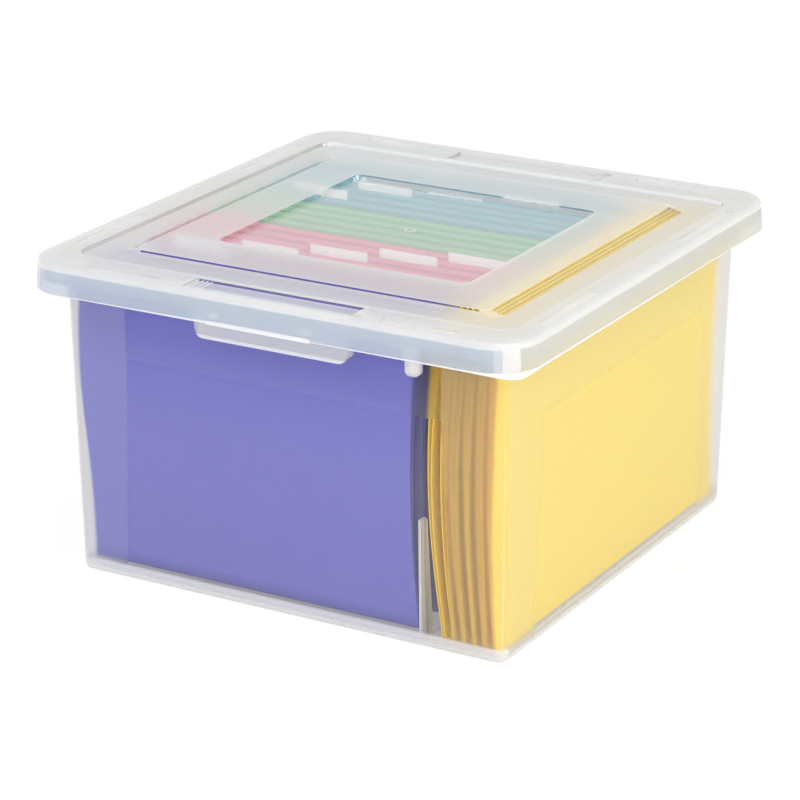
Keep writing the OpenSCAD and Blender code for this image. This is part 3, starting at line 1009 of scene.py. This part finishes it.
@dataclass(frozen=True)
class Wave:
    """One wave of a card's surface."""

    turns: float
    phase_share: float
    slant: float
    share: float

    def height(self, u: float, v: float, phase: float) -> float:
        """Give the wave's height at one spot.

        Args:
            u: Share of the way down.
            v: Share of the way along.
            phase: The card's own phase.

        Returns:
            The height, as a share of the whole ripple.
        """
        turn = 2 * math.pi * (self.turns * v + self.phase_share * phase) + self.slant * u
        return self.share * math.sin(turn)


WAVES = (Wave(0.8, 1.0, 2.4, 0.65), Wave(1.9, -1.7, -3.1, 0.35))


@dataclass(frozen=True)
class Drape:
    """How a hung cover bellies out, drifts at its fold, draws in its ends and ripples."""

    bow_mm: float
    swing_mm: float
    tuck_mm: float
    skew_mm: float
    ripple_mm: float
    seed: float
    leaf_phase: float = 0.37
    fade_power: float = 0.8
    skew_curl: float = 0.6

    def ends(self, u: float) -> Point:
        """Tell how far the cover's two ends draw in at one height.

        Args:
            u: Share of the way down, from hem to fold.

        Returns:
            The draw at the near and at the far end, in millimetres.
        """
        tuck = self.tuck_mm * math.sin(math.pi * u)
        skew = self.skew_mm * (u - self.skew_curl * math.sin(2 * math.pi * u))
        return (skew if self.skew_mm else tuck), tuck

    def ripple(self, u: float, v: float, sign: int) -> float:
        """Work out how far the card stands off its mean line.

        Args:
            u: Share of the way down.
            v: Share of the way along.
            sign: Which leaf.

        Returns:
            The offset, in millimetres.
        """
        phase = self.seed + self.leaf_phase * sign
        waves = sum(wave.height(u, v, phase) for wave in WAVES)
        return self.ripple_mm * math.sin(math.pi * u) ** self.fade_power * waves


@dataclass
class HangingCover:
    """A card folded in two, with a hem round a rod at each top edge."""

    name: str
    run: Run
    node: str
    drape: Drape
    rod_pair_mm: float = 5
    hem_half_mm: float = 1.2
    hem_drop_mm: float = 10.5
    hem_edge_mm: float = 1.0
    hem_foot_mm: float = 2.0
    leaf_drop_mm: float = 0.8
    fold_rise_mm: float = 1.0
    crown_mm: float = 2.0
    thickness_mm: float = 0.6
    fold_half_mm: float = 0.9
    sharp_deg: float = 50
    hem_steps: int = 6
    down_steps: int = 22
    along_steps: int = 26

    def places(self) -> tuple[float, float, float, float, float]:
        """Read the cover's ends, hem line, top and fold from the frame.

        Returns:
            Both ends, the middle between its rods, its top and its lowest point, in millimetres.
        """
        low, high = (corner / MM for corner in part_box(self.node))
        along, across = (0, 1) if self.run is Run.LETTER else (1, 0)
        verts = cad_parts[self.node].data.vertices
        level = high.z - self.crown_mm
        top = [vert.co[across] / MM for vert in verts if vert.co.z / MM > level]
        return low[along], high[along], (min(top) + max(top)) / 2, high.z, low.z

    def side(self, sign: int, top: float, low: float) -> list[tuple[float, float, float]]:
        """Trace one leaf from its hem's free edge to the fold.

        Args:
            sign: Which leaf.
            top: The hem's top, in millimetres.
            low: The fold's lowest point, in millimetres.

        Returns:
            Offset, height and share of the way down, for each point.
        """
        half, hem = self.rod_pair_mm / 2, self.hem_half_mm
        crown = top - self.thickness_mm / 2 - hem
        neck = top - self.hem_drop_mm
        inner, outer = sign * (half - hem), sign * (half + hem)
        path = [(inner, neck + self.hem_edge_mm, 0.0), (inner, crown, 0.0)]
        for step in range(1, self.hem_steps):
            turn = math.pi * (1 - step / self.hem_steps)
            path.append((sign * (half + hem * math.cos(turn)), crown + hem * math.sin(turn), 0.0))
        path += [(outer, crown, 0.0), (outer, neck + self.hem_foot_mm, 0.0)]
        for step in range(self.down_steps + 1):
            u = step / self.down_steps
            gap = half * (1 - u) + self.fold_half_mm * u
            height = (neck - self.leaf_drop_mm) * (1 - u) + (low + self.fold_rise_mm) * u
            path.append((sign * gap, height, u))
        return path

    def build(self, finish: Material) -> Object:
        """Make the cover.

        Args:
            finish: Its card.

        Returns:
            The cover.
        """
        start, end, centre, top, low = self.places()
        left = self.side(-1, top, low)
        right = self.side(1, top, low)
        fold = [(0.0, low + self.thickness_mm / 2, 1.0)]
        path = [(*point, -1) for point in left] + [(*point, 0) for point in fold]
        path += [(*point, 1) for point in reversed(right)]
        points = []
        for offset, height, u, sign in path:
            drift = self.drape.bow_mm * math.sin(math.pi * u) + self.drape.swing_mm * u * u
            for step in range(self.along_steps + 1):
                v = step / self.along_steps
                across = centre + offset + drift + self.drape.ripple(u, v, sign)
                near, far = self.drape.ends(u)
                along = start + near + (end - start - near - far) * v
                spot = (along, across) if self.run is Run.LETTER else (across, along)
                points.append(Vector((*spot, height)) * MM)
        row = self.along_steps + 1
        faces = [
            (i * row + j, i * row + j + 1, (i + 1) * row + j + 1, (i + 1) * row + j)
            for i in range(len(path) - 1)
            for j in range(self.along_steps)
        ]
        cover = plain_mesh(self.name, points, faces)
        wall = cover.modifiers.new("thickness", "SOLIDIFY")
        wall.thickness = self.thickness_mm * MM
        wall.offset = 0
        baked(cover)
        outward(cover)
        cover.data.shade_smooth()
        cover.data.set_sharp_from_angle(angle=math.radians(self.sharp_deg))
        cover.data.materials.append(finish)
        return cover


def outward(item: Object) -> None:
    """Turn a closed mesh's faces outward.

    Args:
        item: The object whose mesh it is.
    """
    shape = bmesh.new()
    shape.from_mesh(item.data)
    bmesh.ops.recalc_face_normals(shape, faces=shape.faces)
    shape.to_mesh(item.data)
    shape.free()


@dataclass
class FolderSet:
    """One colour's hanging folders, with their rods, tabs and labels."""

    colour: str
    run: Run
    count: int
    bow_mm: Point
    swing_mm: Point
    tuck_mm: float = 1.0
    skew_mm: float = 0.0
    ripple_mm: float = 0.9
    seed_step: float = 0.31
    seed_share: float = 0.05
    made: list[Object] = field(default_factory=list)

    @property
    def body(self) -> str:
        """The moving body that carries this set."""
        return f"{self.colour}_set"

    def keep(self, piece: Object, node: str) -> None:
        """Let a piece stand for a frame piece and ride with the set.

        Args:
            piece: The piece.
            node: The frame piece.
        """
        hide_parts(node)
        self.made.append(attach(piece, self.body))

    def covers(self) -> None:
        """Make the set's covers."""
        card = CARDS[self.colour].make()
        for number in range(self.count):
            bow = self.bow_mm[0] + number * self.bow_mm[1]
            swing = self.swing_mm[0] + number * self.swing_mm[1]
            seed = self.seed_step * number + self.seed_share * len(self.colour)
            drape = Drape(bow, swing, self.tuck_mm, self.skew_mm, self.ripple_mm, seed)
            node = f"{self.colour}_folder_{number + 1}"
            cover = HangingCover(f"{self.colour}_cover_{number + 1}", self.run, node, drape)
            self.keep(cover.build(card), node)

    def rods(self, steel: Material) -> None:
        """Make the set's rods, hooked over the rails at both ends.

        Args:
            steel: Their finish.
        """
        node = f"{self.colour}_rods"
        boxes = islands(node)
        low, high = boxes[0]
        axis = 0 if self.run is Run.LETTER else 1
        half, drop = (high[axis] - low[axis]) / 2, high.z - low.z
        notch, hook, seat, nip, bend = 3.4 * MM, 1.5 * MM, 4.5 * MM, 0.5 * MM, 1.5 * MM
        inner = half - hook - notch
        right = [
            (inner, -drop), (inner, -seat), (half - hook, -seat), (half - hook, -drop),
            (half - nip, -drop), (half, -seat - bend), (half, -bend), (half - bend, 0.0),
        ]
        left = [(-x, z) for x, z in reversed(right)]
        rod = slab("rod_pattern", left[2:] + right + left[:2], 1.2 * MM, 0.15 * MM)
        tops = [Vector(((a.x + b.x) / 2, (a.y + b.y) / 2, b.z)) for a, b in boxes]
        turn = 0.0 if self.run is Run.LETTER else math.pi / 2
        row = Repeater(f"{self.colour}_rod_row")
        rods = row.lay(f"{self.colour}_hanging_rods", rod, tops, turn, steel)
        self.keep(rods, node)

    def tabs(self, sheath: Material, paper: Material) -> None:
        """Make the set's clear tabs and their labels.

        Args:
            sheath: The tabs' finish.
            paper: The labels' finish.
        """
        for node, name, slot, radius, bevel, finish in (
            ("tabs", "index_tabs", "tab_plastic", 1.6 * MM, 0.15 * MM, sheath),
            ("labels", "index_labels", "label_paper", 0.4 * MM, 0.02 * MM, paper),
        ):
            boxes = islands(f"{self.colour}_{node}")
            size = boxes[0][1] - boxes[0][0]
            shape = slab(f"{node}_pattern", rounded(size.x, 0, size.z, radius), size.y, bevel)
            feet = [Vector(((a.x + b.x) / 2, (a.y + b.y) / 2, a.z)) for a, b in boxes]
            row = Repeater(f"{self.colour}_{node}_row")
            pieces = row.lay(f"{self.colour}_{name}", shape, feet, 0.0, finish)
            self.keep(pieces, f"{self.colour}_{node}")

    def build(self, steel: Material, sheath: Material, paper: Material) -> list[Object]:
        """Make the set's pieces.

        Args:
            steel: The rods' finish.
            sheath: The tabs' finish.
            paper: The labels' finish.

        Returns:
            The pieces made.
        """
        self.covers()
        self.rods(steel)
        if f"{self.colour}_tabs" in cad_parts:
            self.tabs(sheath, paper)
        return self.made


@dataclass(frozen=True)
class Lamp:
    """A square soft lamp aimed at the box."""

    name: str
    place: Place
    size: float
    watts: float
    mirrored: bool = True
    aim: Place = (0, 0, 0.12)

    def hang(self) -> None:
        """Add the lamp to the scene."""
        data = bpy.data.lights.new(self.name, "AREA")
        data.size = self.size
        data.energy = self.watts
        item = bpy.data.objects.new(self.name, data)
        item.location = self.place
        aim = Vector(self.aim) - Vector(self.place)
        item.rotation_euler = aim.to_track_quat("-Z", "Y").to_euler()
        item.visible_glossy = self.mirrored
        bpy.context.scene.collection.objects.link(item)


@dataclass
class Studio:
    """White floor and surround, soft lamps and the camera."""

    azimuth_deg: float = 29.70
    elevation_deg: float = 19.838
    place: Place = (1.20724, -2.13203, 1.00027)
    lens_mm: float = 144.76
    sensor_mm: float = 36
    reach: float = 50
    floor_half: float = 4
    floor_white: float = 0.9
    floor_lift: float = 0.93
    lamps: tuple[Lamp, ...] = (
        Lamp("key", (-0.9, -1.7, 2.6), 1.3, 27),
        Lamp("fill", (2.4, -0.3, 1.1), 1.4, 33),
        Lamp("front", (1.1, -2.3, 0.9), 0.9, 14, mirrored=False),
    )

    def camera(self) -> None:
        """Place the camera."""
        data = bpy.data.cameras.new("camera")
        data.lens = self.lens_mm
        data.sensor_width = self.sensor_mm
        data.clip_end = self.reach
        item = bpy.data.objects.new("camera", data)
        item.location = self.place
        tilt, turn = math.radians(90 - self.elevation_deg), math.radians(self.azimuth_deg)
        item.rotation_euler = (tilt, 0, turn)
        bpy.context.scene.collection.objects.link(item)
        bpy.context.scene.camera = item

    @staticmethod
    def sky() -> None:
        """Set the white surround."""
        world = bpy.data.worlds.new("surround")
        world.use_nodes = True
        glow = world.node_tree.nodes["Background"]
        glow.inputs["Color"].default_value = (1, 1, 1, 1)
        glow.inputs["Strength"].default_value = 1
        bpy.context.scene.world = world

    @staticmethod
    def seen(bench: NodeBench) -> Socket:
        """Add a value that is 1 for rays that see a surface itself, straight or mirrored.

        Args:
            bench: The material's bench.

        Returns:
            Its socket.
        """
        path = bench.add("ShaderNodeLightPath")
        total = path.outputs["Is Camera Ray"]
        for name in ("Is Glossy Ray", "Is Transmission Ray"):
            total = bench.math("MAXIMUM", total, path.outputs[name])
        return total

    def floor(self) -> None:
        """Lay the white floor, which keeps a faint shadow."""
        half = self.floor_half
        corners = [(-half, -half, 0), (half, -half, 0), (half, half, 0), (-half, half, 0)]
        item = plain_mesh("floor", corners, [(0, 1, 2, 3)])
        bench = NodeBench.open("floor_white")
        matt = bench.add("ShaderNodeBsdfDiffuse", Color=(*(self.floor_white,) * 3, 1))
        glow = bench.add("ShaderNodeEmission", Strength=1.0)
        share = bench.math("MULTIPLY", self.seen(bench), self.floor_lift)
        lift = bench.mix(share, matt.outputs[0], glow.outputs[0])
        item.data.materials.append(bench.close(lift))

    def build(self) -> None:
        """Set up the whole studio."""
        self.camera()
        self.sky()
        self.floor()
        for lamp in self.lamps:
            lamp.hang()
        bpy.context.scene.view_settings.view_transform = "Standard"


def main() -> None:
    """Build the studio and every piece."""
    logging.basicConfig(level=logging.INFO, format="%(name)s: %(message)s")
    Studio().build()
    steel = Strip("rod_steel_strip").make()
    sheath = ClearPlastic(
        "tab_sheath", 0.45, 0.3, 0.08, (0.93, 0.93, 0.93), shade=THIN_SHADE
    ).make()
    paper = Card("label_paper_white", (0.93, 0.93, 0.93), (0.89, 0.90, 0.90)).make()
    sets = (
        FolderSet("purple", Run.LETTER, 4, (-4.0, 0.6), (4.0, 0.0), tuck_mm=3.0, skew_mm=4.0),
        FolderSet("pink", Run.LETTER, 5, (-1.5, 0.0), (1.5, 0.0)),
        FolderSet("green", Run.LETTER, 4, (-1.5, 0.0), (1.5, 0.0)),
        FolderSet("blue", Run.LETTER, 7, (-1.5, 0.0), (1.5, 0.0)),
        FolderSet("yellow", Run.LEGAL, 6, (-8.0, 0.8), (7.0, -1.0)),
    )
    for part in (Tub(), CrossRail(), Lid()):
        LOG.info("made %s", part.build().name)
    for folders in sets:
        for piece in folders.build(steel, sheath, paper):
            LOG.info("made %s", piece.name)


if __name__ == "__main__":
    main()
